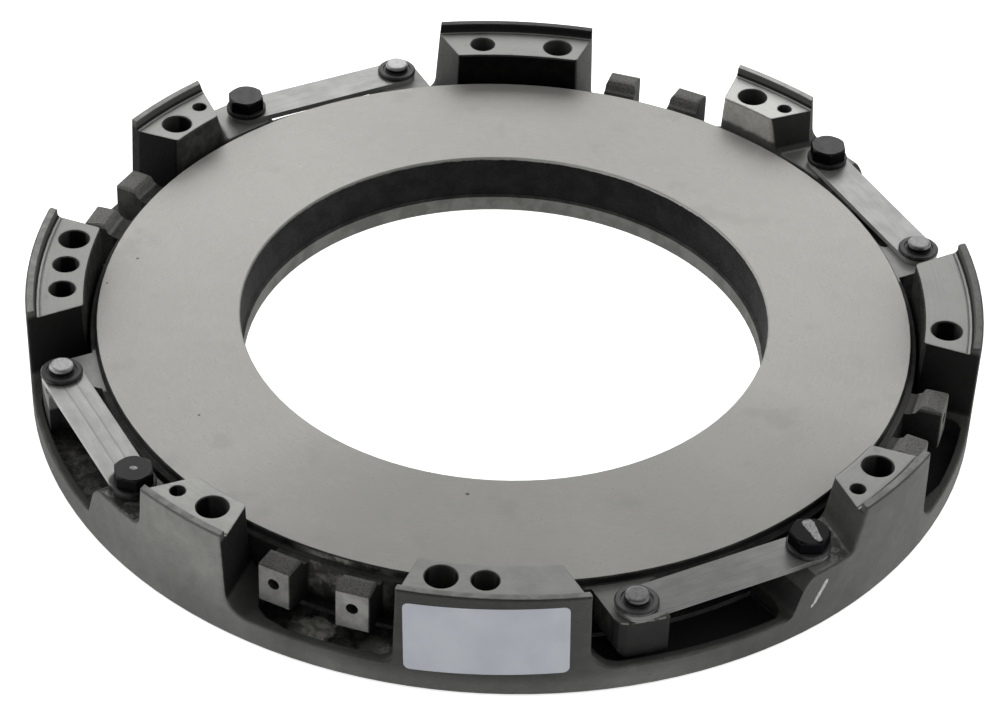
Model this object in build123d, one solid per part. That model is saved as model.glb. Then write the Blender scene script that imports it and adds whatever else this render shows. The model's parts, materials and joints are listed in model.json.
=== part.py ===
from build123d import *
import os
from math import cos, sin, tan, radians, degrees, sqrt, atan2, hypot

os.makedirs("parts", exist_ok=True)

# Intermediate ring and intermediate pressure plate of a twin-disc clutch.
# Millimetres. Origin on the axis at the ring's bottom face, +Z towards the
# clutch cover. The layout repeats every 90 degrees: a wide lug starting at
# 0 degrees, the rivet end of a strap, its bolt end, a narrow lug, and a pair
# of stop lugs on the plate.

# ---------------------------------------------------------------- ring
RING_OR = 235.5          # outer radius of the wall
RING_OR_TOP = 235.8      # outer radius at the pilot rim
RING_IR = 206.4          # inner radius at the base
PAD_IR = 207.3           # inner radius of the bolting pads
WALL_TOP = 13.8          # low wall between the lugs
WALL_IR = 231.6          # inner radius of the low wall
FLOOR_Z = 6.0            # floor of the pockets behind the low wall
SEAT_Z = 34.67           # strap seats
PAD_Z = 53.72            # bolting pads
RIM_Z = 58.2             # top of the pilot rim
RIM_IR = 231.5           # inner radius of the pilot rim

BOLT_CIRCLE_R = 218.2    # cover bolts, both patterns
MAIN_HOLE_R = 7.5
WIDE_HOLE_A = 0.0
NARROW_HOLE_A = 60.0
DOWEL_HOLE_R = 6.35
DOWEL_CIRCLE_R = 218.3
DOWEL_ANGLES = {1: (10.8,), 2: (5.6, 10.9), 3: (5.2,)}
SMALL_HOLE_R = 3.65
SMALL_CIRCLE_R = 220.7
SMALL_HOLE_A = 54.9
SMALL_DEPTH = 26.0

# flank lines at pad level: (radius, angle) of the inner and the outer end
WIDE_LO = ((207.3, -3.2), (230.0, -4.3))
WIDE_HI = ((207.3, 14.5), (230.0, 16.6))
NARROW_LO = ((207.3, 54.7), (230.0, 52.1))
NARROW_HI = ((207.3, 63.0), (230.0, 64.5))
NEXT_WIDE_LO = ((207.3, 86.8), (230.0, 85.7))
# the pilot rim stops short of some flank lines: angle of its end on the wall
RIM_END_WIDE_HI = {1: 16.2}
RIM_END_WIDE_LO = {1: -4.25}
RIM_END_NARROW_LO = {0: 53.0, 2: 52.6}
RIM_END_NARROW_HI = {1: 64.1}
CORNER_R = 3.2           # upright inner corners of the lugs
WIDE_CORNER_R = {0: 4.4, 1: 2.6, 2: 2.6, 3: 2.6}   # wide lug's corner beside the strap
STOP_ANGLES = {0: (70.1, 80.1), 1: (70.0, 79.3), 2: (69.8, 79.8), 3: (70.0, 80.0)}

# ---------------------------------------------------------------- plate
PLATE_R = 202.5          # upper friction face
PLATE_TOP = 38.67
PLATE_BOT = 5.3
BODY_R = 205.3           # cast body below the shoulder
BORE_R = 131.46
LAND_R = 130.3           # narrower land at the bottom of the bore
LAND_Z = 14.7
EAR_TOP = 34.67
EAR_BOT = 13.3
EAR_R = 230.0

# ---------------------------------------------------------------- straps
BOLT_R, BOLT_A = 221.2, 46.55
RIVET_R, RIVET_A = 220.8, 23.1
RIVET_SHIFT = {2: (1.1, -0.15)}   # this ear was cast slightly further out
STRAP_W = 19.7
LEAF_T = 1.0
LEAVES = 3
PACK_T = LEAF_T * LEAVES
HEX_AF = 17.0
HEX_H = 6.8
WASHER_OR, WASHER_T = 10.5, 2.6
COLLAR_OR, COLLAR_T = 10.2, 2.2
RIVET_HEAD_R, RIVET_HEAD_H = 6.0, 3.5
BOLT_SHANK_R = 5.0
RIVET_SHANK_R = 4.5
HEX_TURN = {0: 40.0, 1: 51.0, 2: 50.0, 3: 9.0}   # corner direction of each hex


def pol(r, a, z=0.0):
    return (r * cos(radians(a)), r * sin(radians(a)), z)


def revolved(pts):
    """Closed (r, z) polygon turned about Z."""
    wire = Polyline(*[(r, 0, z) for r, z in pts], close=True)
    return revolve(make_face(wire), Axis.Z, 360)


def cyl(r, z0, z1, x=0.0, y=0.0):
    return Pos(x, y, (z0 + z1) / 2) * Cylinder(r, z1 - z0)


def prism(pts, z0, z1):
    """Closed plan polygon extruded upwards."""
    wire = Polyline(*[(x, y, z0) for x, y in pts], close=True)
    return extrude(make_face(wire), amount=z1 - z0, dir=(0, 0, 1))


def sector(a0, a1, z0, z1, r0=190.0, r1=260.0):
    n = max(2, int(abs(a1 - a0) / 6) + 1)
    aa = [a0 + (a1 - a0) * i / n for i in range(n + 1)]
    pts = [pol(r0, a)[:2] for a in aa] + [pol(r1, a)[:2] for a in reversed(aa)]
    return prism(pts, z0, z1)


def flank(line, side, z_foot, foot_r, draft, reach, z_top=70.0, z_ref=PAD_Z,
          half=70.0):
    """Cutter on one side of a lug: its wall leans by `draft` from the flank
    line and runs into a floor at z_foot through a fillet of foot_r."""
    (r0, a0), (r1, a1) = line
    x0, y0, _ = pol(r0, a0)
    x1, y1, _ = pol(r1, a1)
    d = hypot(x1 - x0, y1 - y0)
    vx, vy = (x1 - x0) / d, (y1 - y0) / d
    ux, uy = (-vy, vx) if side > 0 else (vy, -vx)
    zd = (vx, vy, 0) if side > 0 else (-vx, -vy, 0)
    pl = Plane(origin=((x0 + x1) / 2, (y0 + y1) / 2, 0), x_dir=(ux, uy, 0), z_dir=zd)
    t = radians(draft)
    u_at = lambda z: (z_ref - z) * tan(t)
    # fillet centre: foot_r from the floor and foot_r from the leaning wall
    zc = z_foot + foot_r
    uc = u_at(zc) + foot_r / cos(t)
    a = (uc - foot_r * cos(t), zc - foot_r * sin(t))
    m_dir = radians(225 + draft / 2)
    m = (uc + foot_r * cos(m_dir), zc + foot_r * sin(m_dir))
    b = (uc, z_foot)
    edges = [Line((u_at(z_top), z_top), a), ThreePointArc(a, m, b),
             Line(b, (reach, z_foot)), Line((reach, z_foot), (reach, z_top)),
             Line((reach, z_top), (u_at(z_top), z_top))]
    face = make_face(Wire([e.edge() for e in edges]))
    return extrude(pl * face, amount=half / 2, both=True)


def profile_cut(angle, pts, half=70.0, r=221.0):
    """Closed (u, z) profile, u along the circle from `angle`, cut radially."""
    x0, y0, _ = pol(r, angle)
    vx, vy = cos(radians(angle)), sin(radians(angle))
    pl = Plane(origin=(x0, y0, 0), x_dir=(-vy, vx, 0), z_dir=(vx, vy, 0))
    face = make_face(Polyline(*pts, close=True))
    return extrude(pl * face, amount=half / 2, both=True)


def arc_pts(cx, cz, r, a0, a1, n=6):
    return [(cx + r * cos(radians(a0 + (a1 - a0) * i / n)),
             cz + r * sin(radians(a0 + (a1 - a0) * i / n))) for i in range(n + 1)]


# ================================================================ ring
envelope = revolved([
    (RING_IR, 0.9), (RING_IR + 0.9, 0.0), (RING_OR - 1.0, 0.0), (RING_OR - 0.1, 0.9),
    (RING_OR, 14.0), (RING_OR_TOP, RIM_Z - 0.7), (RING_OR_TOP - 0.6, RIM_Z),
    (RIM_IR + 0.4, RIM_Z), (RIM_IR, RIM_Z - 0.5), (RIM_IR, 55.4), (RIM_IR - 0.35, 54.5),
    (RIM_IR - 1.1, 53.95), (229.35, PAD_Z), (229.3, PAD_Z - 0.35),
    (228.85, PAD_Z - 0.35), (228.8, PAD_Z), (PAD_IR + 0.7, PAD_Z),
    (PAD_IR, PAD_Z - 0.7), (RING_IR + 0.1, 16.0),
])

# space behind the low wall: floor, cove and the wall's inner face
pocket_zone = revolved([
    (190.0, FLOOR_Z), (227.6, FLOOR_Z), (229.2, FLOOR_Z + 0.35), (230.5, FLOOR_Z + 1.3),
    (231.2, FLOOR_Z + 2.8), (WALL_IR, WALL_TOP + 0.5), (WALL_IR, 70.0), (190.0, 70.0),
])


def strap_window(z_foot, foot_wide, boss):
    """Opening from the wide lug to the strap seat."""
    w = flank(WIDE_HI, +1, z_foot, foot_wide, 1.6, 44.0)
    w += sector(24.0, 41.0, z_foot, 70.0)
    w += profile_cut(43.0, boss)
    return w


boss_wall = ([(-22, 70), (-22, WALL_TOP), (-6.6, WALL_TOP), (-5.2, 14.5), (-4.3, 16.6), (-0.3, 27.6)]
             + arc_pts(9.4, 25.0, 9.67, 164, 90, 6)[1:] + [(9.4, 70)])
boss_pocket = ([(-22, 70), (-22, 0), (-6.5, 0), (-5.6, FLOOR_Z + 1.2), (-4.3, FLOOR_Z + 4.0), (0.2, 28.0)]
               + arc_pts(8.0, 26.5, 8.17, 168, 90, 6)[1:] + [(8.0, 70)])

def plan(pts):
    return [pol(r, a)[:2] for r, a in pts]


# plan outlines of the pockets, with a ledge left beside each lug
strap_pocket = prism(plan([(190, 16.9), (207, 17.1), (221, 17.7), (227, 18.3), (230, 19.1), (231.5, 20.4),
                           (234, 22.5), (240, 24.0), (240, 38.0), (231.4, 40.2), (228.5, 41.2), (222, 41.7),
                           (207, 41.5), (190, 41.4), (190, 33.0), (190, 25.0)]), 0.0, 70.0)
stop_pocket = prism(plan([(190, 66.7), (207, 66.8), (220, 67.1), (225.5, 68.0), (229.2, 69.6), (231.2, 72.0),
                          (234, 74.5), (240, 76.0), (240, 82.5), (231.4, 83.8), (229.6, 84.6), (226.5, 85.0),
                          (207, 86.0), (190, 86.6), (190, 76.0)]), 0.0, 70.0)

module_cut = None
for part in (
    strap_window(WALL_TOP, 13.0, boss_wall),
    (strap_pocket & profile_cut(43.0, boss_pocket) + sector(16.0, 40.0, 0.0, 70.0) & strap_pocket) & pocket_zone,
    # strap seat and the drafted flank above it
    flank(NARROW_LO, -1, SEAT_Z, 4.0, 15.0, 34.0),
    sector(40.0, 46.0, SEAT_Z, 70.0),
    # spot-faced clearance round the bolt head
    cyl(16.0, SEAT_Z, 70.0, *pol(BOLT_R, BOLT_A)[:2]),
    # window between the narrow lug and the next wide lug
    flank(NARROW_HI, +1, WALL_TOP, 12.0, 3.0, 44.0)
    + flank(NEXT_WIDE_LO, -1, WALL_TOP, 5.0, 1.4, 44.0)
    + sector(70.0, 80.0, WALL_TOP, 70.0),
    stop_pocket & pocket_zone,
):
    module_cut = part if module_cut is None else module_cut + part

ring = envelope
for k in range(4):
    ring = ring - Rot(0, 0, 90 * k) * module_cut

# ends of the rim, nearly radial
for k in range(4):
    turn = Rot(0, 0, 90 * k)
    if k in RIM_END_WIDE_HI:
        ring = ring - turn * flank(((229.6, 16.56), (235.8, RIM_END_WIDE_HI[k])), +1, WALL_TOP, 10.0, 4.0, 20.0)
    if k in RIM_END_WIDE_LO:
        ring = ring - turn * flank(((229.6, -4.3), (235.8, RIM_END_WIDE_LO[k])), -1, WALL_TOP, 5.0, 1.8, 16.0)
    if k in RIM_END_NARROW_LO:
        ring = ring - turn * flank(((229.6, 52.15), (235.8, RIM_END_NARROW_LO[k])), -1, SEAT_Z, 5.0, 5.0, 14.0)
    if k in RIM_END_NARROW_HI:
        ring = ring - turn * flank(((229.6, 64.45), (235.8, RIM_END_NARROW_HI[k])), +1, WALL_TOP, 12.0, 3.0, 20.0)

for k in range(4):
    base = 90 * k
    tools = [
        (MAIN_HOLE_R, -5.0, BOLT_CIRCLE_R, WIDE_HOLE_A, PAD_Z),
        (MAIN_HOLE_R, -5.0, BOLT_CIRCLE_R, NARROW_HOLE_A, PAD_Z),
        (SMALL_HOLE_R, PAD_Z - SMALL_DEPTH, SMALL_CIRCLE_R, SMALL_HOLE_A, PAD_Z),
        (BOLT_SHANK_R, SEAT_Z - 22.0, BOLT_R, BOLT_A, SEAT_Z),
    ] + [(DOWEL_HOLE_R, -5.0, DOWEL_CIRCLE_R, a, PAD_Z) for a in DOWEL_ANGLES.get(k, ())]
    for r, z0, rad, a, top in tools:
        x, y, _ = pol(rad, base + a)
        ring = ring - cyl(r, z0, 80, x, y)
        edge = 0.5 if r > 5.5 else 0.3
        ring = ring - Pos(x, y, 0) * revolved([(0, top - edge), (r, top - edge), (r + edge + 0.2, top + 0.2),
                                               (0, top + 0.2)])

# upright inner corners of the lugs, then their outer ones
def try_each(shape, pick, work, sizes, what):
    done = failed = 0
    for c in [e.center() for e in shape.edges() if pick(e)]:
        near = [e for e in shape.edges() if pick(e) and (e.center() - c).length < 0.05]
        if not near:
            continue
        for size in sizes:
            try:
                new = work(near[:1], size)
                if len(new.solids()) == 1 and new.is_valid and abs(new.volume - shape.volume) < 2000:
                    shape = new
                    done += 1
                    break
            except Exception:
                pass
        else:
            failed += 1
    print(what, "done", done, "left sharp", failed)
    return shape


def upright(e):
    c = e.center()
    r = hypot(c.X, c.Y)
    return (205.8 < r < 208.0 and e.length > 12 and abs(e.tangent_at(0.5).Z) > 0.85)


def outer_upright(e):
    c = e.center()
    r = hypot(c.X, c.Y)
    return (235.0 < r < 236.0 and e.length > 14 and abs(e.tangent_at(0.5).Z) > 0.8)


def corner_round(line, side, draft, rad, z0, z1):
    """Cutter that rounds the upright corner between a lug's inner face and
    one of its leaning flanks."""
    (r0, a0), (r1, a1) = line
    p0, p1 = Vector(*pol(r0, a0)), Vector(*pol(r1, a1))
    v = (p1 - p0).normalized()
    u = Vector(-v.Y, v.X, 0) * side
    faces = []
    for z in (z0, z1):
        face_r = RING_IR + 0.1 + (PAD_IR - RING_IR - 0.1) * (z - 16.0) / (PAD_Z - 0.7 - 16.0)
        q = p0 + u * ((PAD_Z - z) * tan(radians(draft)))
        # where the flank meets the inner face
        b = q.dot(v)
        c = q + v * (-b + sqrt(b * b - q.dot(q) + face_r * face_r))
        out = Vector(c.X, c.Y, 0).normalized()
        t = Vector(-out.Y, out.X, 0) * -side
        half = v.get_angle(t) / 2
        reach = rad / tan(radians(half))
        mid = (v + t).normalized()
        centre = c + mid * (rad / sin(radians(half)))
        on_t, on_v, on_m = c + t * reach, c + v * reach, centre - mid * rad
        up = Vector(0, 0, z)
        pts = [on_t, on_t - out * 1.2, c - out * 1.2 + u * 1.2, on_v + u * 1.2, on_v]
        pts = [p + up for p in pts]
        edges = [Line(a, b) for a, b in zip(pts, pts[1:])] + [ThreePointArc(pts[-1], on_m + up, pts[0])]
        faces.append(make_face(Wire([e.edge() for e in edges])))
    return loft(faces, ruled=True)


ring = try_each(ring, upright, fillet, (CORNER_R, 2.2, 1.2), "lug corners")
for k in range(4):
    ring = ring - Rot(0, 0, 90 * k) * corner_round(NARROW_HI, +1, 3.0, CORNER_R, 25.4, 70.0)
    ring = ring - Rot(0, 0, 90 * k) * corner_round(WIDE_HI, +1, 1.6, WIDE_CORNER_R[k], 27.0, 70.0)
ring = try_each(ring, outer_upright, fillet, (1.4, 0.8), "outer lug corners")

# ================================================================ plate
plate = revolved([
    (BORE_R + 0.5, PLATE_TOP), (PLATE_R - 0.6, PLATE_TOP), (PLATE_R, PLATE_TOP - 0.6),
    (PLATE_R + 0.2, EAR_TOP + 0.6), (PLATE_R + 0.8, EAR_TOP), (BODY_R - 0.3, EAR_TOP),
    (BODY_R, EAR_TOP - 0.4), (BODY_R, 11.8), (BODY_R - 0.9, 11.2), (204.0, PLATE_BOT + 1.0),
    (203.0, PLATE_BOT), (LAND_R + 0.6, PLATE_BOT), (LAND_R, PLATE_BOT + 0.6),
    (LAND_R, LAND_Z - 0.7), (BORE_R, LAND_Z + 0.3), (BORE_R, PLATE_TOP - 0.5),
])


def rivet_place(k):
    dr, da = RIVET_SHIFT.get(k, (0.0, 0.0))
    return pol(RIVET_R + dr, 90 * k + RIVET_A + da)


def ear():
    """Strap ear: diagonal side towards the wide lug, rounded corners."""
    c = RIVET_A
    top = [pol(200.0, c - 4.9), pol(207.0, c - 4.35), pol(226.0, c - 3.05), pol(228.6, c - 2.6),
           pol(EAR_R, c - 1.7), pol(EAR_R + 1, c - 0.9),
           pol(EAR_R + 1, c + 3.3), pol(207.0, c + 2.85), pol(204.6, c + 3.4), pol(200.0, c + 3.6)]
    body = prism([p[:2] for p in top], EAR_BOT, EAR_TOP)
    body = body & revolved([(198.0, 0), (EAR_R - 0.5, 0), (EAR_R, 20.0), (EAR_R, EAR_TOP - 0.4),
                            (EAR_R - 0.4, EAR_TOP), (198.0, EAR_TOP)])
    # rounded lower corner on the wide lug's side
    r = 7.5
    x0, y0, _ = pol(207.0, c - 4.35)
    x1, y1, _ = pol(227.0, c - 3.0)
    d = hypot(x1 - x0, y1 - y0)
    vx, vy = (x1 - x0) / d, (y1 - y0) / d
    pl = Plane(origin=(x0, y0, 0), x_dir=(-vy, vx, 0), z_dir=(vx, vy, 0))
    cut = make_face(Polyline((-4, EAR_BOT - 3), (r, EAR_BOT - 3), (r, EAR_BOT),
                             *arc_pts(r, EAR_BOT + r, r, 270, 180, 6)[1:],
                             (0, EAR_BOT + r + 1), (-4, EAR_BOT + r + 1), close=True))
    return body - extrude(pl * cut, amount=60, both=True)


def stop_lug(a):
    """Square stop lug with a flat outer face and a radial hole."""
    half, flat, z0, z1 = 8.3, 223.8, 17.4, 40.3
    side = [(200.0, 14.0), (206.0, 14.4), (212.0, 15.6), (219.0, z0 - 0.6), (flat - 0.7, z0),
            (flat, z0 + 0.7), (flat, z1 - 1.6), (flat - 0.6, z1 - 1.0), (215.6, z1), (213.6, z1 - 0.3),
            (212.2, z1 - 1.9), (211.0, z1 - 4.2), (207.5, 34.3), (200.0, 34.0)]
    face = make_face(Polyline(*[(x, 0, z) for x, z in side], close=True))
    lug = extrude(face, amount=half, both=True, dir=(0, 1, 0))
    # the top is rounded off across its width
    front = make_face(Polyline(*[(199.0, y, z) for y, z in
                                 [(-half, 0.0), (half, 0.0), (half, z1 - 2.0), (half - 0.45, z1 - 0.9),
                                  (half - 1.3, z1 - 0.3), (half - 3.0, z1), (-half + 2.2, z1 + 0.1),
                                  (-half + 1.0, z1 - 0.5), (-half + 0.3, z1 - 1.3), (-half, z1 - 2.6)]], close=True))
    lug = lug & extrude(front, amount=30.0, dir=(1, 0, 0))
    try:
        vertical = [e for e in lug.edges() if abs(e.center().X - flat) < 0.2
                    and abs(e.tangent_at(0.5).Z) > 0.9]
        lug = fillet(vertical, 1.0)
    except Exception as err:
        print("stop lug corner left sharp:", err)
    hole = Pos(214.0, 0, 30.1) * Rot(0, 90, 0) * Cylinder(2.9, 30.0)
    return Rot(0, 0, a) * (lug - hole)


for k in range(4):
    r = Rot(0, 0, 90 * k)
    at, mean = rivet_place(k), pol(RIVET_R, 90 * k + RIVET_A)
    plate = plate + Pos(at[0] - mean[0], at[1] - mean[1], 0) * r * ear()
    plate = plate + r * stop_lug(STOP_ANGLES[k][0]) + r * stop_lug(STOP_ANGLES[k][1])
for k in range(4):
    x, y, _ = rivet_place(k)
    plate = plate - cyl(RIVET_SHANK_R, 0, 60, x, y)

# ================================================================ straps
def unit(p, q):
    d = hypot(q[0] - p[0], q[1] - p[1])
    return (q[0] - p[0]) / d, (q[1] - p[1]) / d


def leaf(k, i):
    """Leaf i of the pack at station k, counted from the top."""
    b = pol(BOLT_R, 90 * k + BOLT_A)
    v = rivet_place(k)
    length = hypot(v[0] - b[0], v[1] - b[1])
    ang = degrees(atan2(v[1] - b[1], v[0] - b[0]))
    z0 = SEAT_Z + PACK_T - LEAF_T * (i + 1)
    sk = SlotCenterToCenter(length, STRAP_W)
    s = extrude(Pos(length / 2, 0, 0) * sk, amount=LEAF_T)
    s = s - cyl(BOLT_SHANK_R + 0.1, -1, LEAF_T + 1) - cyl(RIVET_SHANK_R + 0.3, -1, LEAF_T + 1, length, 0)
    return Pos(b[0], b[1], z0) * Rot(0, 0, ang) * s


def strap_bolt(k):
    x, y, _ = pol(BOLT_R, 90 * k + BOLT_A)
    z = SEAT_Z + PACK_T + WASHER_T
    head = extrude(RegularPolygon(HEX_AF / 2, 6, major_radius=False, rotation=0), amount=HEX_H)
    rc = HEX_AF / 2 / cos(radians(30))
    # chamfered corners of the head
    dome = revolved([(0, -1), (rc + 0.1, -1), (rc + 0.1, HEX_H - 0.95), (HEX_AF / 2 + 0.15, HEX_H), (0, HEX_H)])
    head = Rot(0, 0, HEX_TURN[k]) * (head & dome)
    collar = cyl(8.2, -0.01, 0.3)
    shank = revolved([(0, -26.5), (BOLT_SHANK_R - 1.2, -26.5), (BOLT_SHANK_R, -25.3), (BOLT_SHANK_R, 0.5), (0, 0.5)])
    return Pos(x, y, z) * (head + shank)


def bolt_washer(k):
    x, y, _ = pol(BOLT_R, 90 * k + BOLT_A)
    w = revolved([(BOLT_SHANK_R, 0), (WASHER_OR - 0.3, 0), (WASHER_OR, 0.3), (WASHER_OR, WASHER_T - 0.5),
                  (WASHER_OR - 0.5, WASHER_T), (BOLT_SHANK_R, WASHER_T)])
    return Pos(x, y, SEAT_Z + PACK_T) * w


def rivet(k):
    x, y, _ = rivet_place(k)
    hh = RIVET_HEAD_H
    # upset head on the collar, shank through the ear, closing head below
    s = revolved([(0, EAR_BOT - 2.0 - SEAT_Z - PACK_T), (6.0, EAR_BOT - 2.0 - SEAT_Z - PACK_T),
                  (6.8, EAR_BOT - 1.3 - SEAT_Z - PACK_T), (7.0, EAR_BOT - SEAT_Z - PACK_T),
                  (RIVET_SHANK_R, EAR_BOT - SEAT_Z - PACK_T),
                  (RIVET_SHANK_R, COLLAR_T), (RIVET_HEAD_R - 0.5, COLLAR_T),
                  (RIVET_HEAD_R - 0.1, COLLAR_T + 0.5), (RIVET_HEAD_R, COLLAR_T + hh - 1.3),
                  (RIVET_HEAD_R - 0.3, COLLAR_T + hh - 0.55), (RIVET_HEAD_R - 0.95, COLLAR_T + hh - 0.1),
                  (RIVET_HEAD_R - 1.6, COLLAR_T + hh), (0, COLLAR_T + hh)])
    return Pos(x, y, SEAT_Z + PACK_T) * s


def rivet_collar(k):
    x, y, _ = rivet_place(k)
    w = revolved([(RIVET_SHANK_R, 0), (COLLAR_OR - 0.5, 0), (COLLAR_OR, 0.5), (COLLAR_OR, COLLAR_T - 0.7),
                  (COLLAR_OR - 0.7, COLLAR_T), (7.5, COLLAR_T), (7.2, COLLAR_T - 0.5), (6.4, COLLAR_T - 0.5),
                  (6.2, COLLAR_T), (RIVET_SHANK_R, COLLAR_T)])
    return Pos(x, y, SEAT_Z + PACK_T) * w


# ================================================================ label
LABEL_A = 275.6                       # middle of the label on the front wide lug
LABEL_W, LABEL_H = 74.6, 39.4
LABEL_Z = 32.75
LABEL_TILT = 1.6
LABEL_T = 0.2


def label():
    wall_r = lambda z: RING_OR + (RING_OR_TOP - RING_OR) * (z - 14.0) / (RIM_Z - 0.7 - 14.0)
    lo, hi = 5.0, 56.0
    band = revolved([(RING_OR - 0.07, lo), (RING_OR, 14.0), (wall_r(hi), hi), (wall_r(hi) + LABEL_T, hi),
                     (RING_OR + LABEL_T, 14.0), (RING_OR - 0.07 + LABEL_T, lo)])
    x0, y0, _ = pol(200.0, LABEL_A)
    vx, vy = cos(radians(LABEL_A)), sin(radians(LABEL_A))
    pl = Plane(origin=(x0, y0, LABEL_Z), x_dir=(-vy, vx, 0), z_dir=(vx, vy, 0))
    outline = Rot(0, 0, LABEL_TILT) * RectangleRounded(LABEL_W, LABEL_H, 3.0)
    return band & extrude(pl * outline, amount=60)


# ================================================================ output
def save(shape, name):
    solids = shape.solids()
    if len(solids) == 1:
        shape = solids[0]
    shape.label = name
    export_step(shape, f"parts/{name}.step")
    bb = shape.bounding_box()
    print(f"{name:24s} solids {len(solids)} volume {shape.volume:12.1f} "
          f"z {bb.min.Z:.2f}..{bb.max.Z:.2f}")


save(ring, "intermediate_ring")
save(plate, "intermediate_plate")
for k in range(4):
    n = k + 1
    for i, name in enumerate(("top", "middle", "bottom")):
        save(leaf(k, i), f"strap_{n}_{name}_leaf")
    save(strap_bolt(k), f"strap_bolt_{n}")
    save(bolt_washer(k), f"bolt_washer_{n}")
    save(rivet(k), f"rivet_{n}")
    save(rivet_collar(k), f"rivet_collar_{n}")
save(label(), "blank_label")
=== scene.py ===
import bpy
import json
import math
import random
from mathutils import Matrix, Vector


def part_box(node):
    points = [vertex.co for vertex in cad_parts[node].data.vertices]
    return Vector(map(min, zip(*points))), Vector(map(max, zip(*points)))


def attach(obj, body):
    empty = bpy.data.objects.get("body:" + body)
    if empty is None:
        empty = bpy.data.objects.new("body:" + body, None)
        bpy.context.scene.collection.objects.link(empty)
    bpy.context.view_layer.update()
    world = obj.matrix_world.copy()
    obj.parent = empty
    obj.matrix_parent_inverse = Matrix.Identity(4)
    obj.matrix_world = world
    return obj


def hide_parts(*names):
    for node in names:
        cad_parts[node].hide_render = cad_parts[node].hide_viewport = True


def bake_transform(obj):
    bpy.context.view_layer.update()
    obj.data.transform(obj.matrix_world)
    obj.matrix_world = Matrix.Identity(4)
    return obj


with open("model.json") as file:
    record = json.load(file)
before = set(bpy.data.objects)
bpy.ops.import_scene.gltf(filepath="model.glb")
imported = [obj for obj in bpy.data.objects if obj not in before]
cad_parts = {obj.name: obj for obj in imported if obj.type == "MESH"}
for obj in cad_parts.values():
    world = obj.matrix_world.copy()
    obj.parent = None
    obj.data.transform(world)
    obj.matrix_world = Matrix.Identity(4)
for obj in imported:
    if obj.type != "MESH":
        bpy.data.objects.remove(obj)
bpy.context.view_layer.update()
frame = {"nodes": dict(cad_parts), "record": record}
NODES = frame["nodes"]
MM = 0.001


def pol(r, deg, z=0.0):
    """A point in mm from its radius and angle about the ring's axis."""
    a = math.radians(deg)
    return Vector((r * math.cos(a), r * math.sin(a), z))


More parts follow.
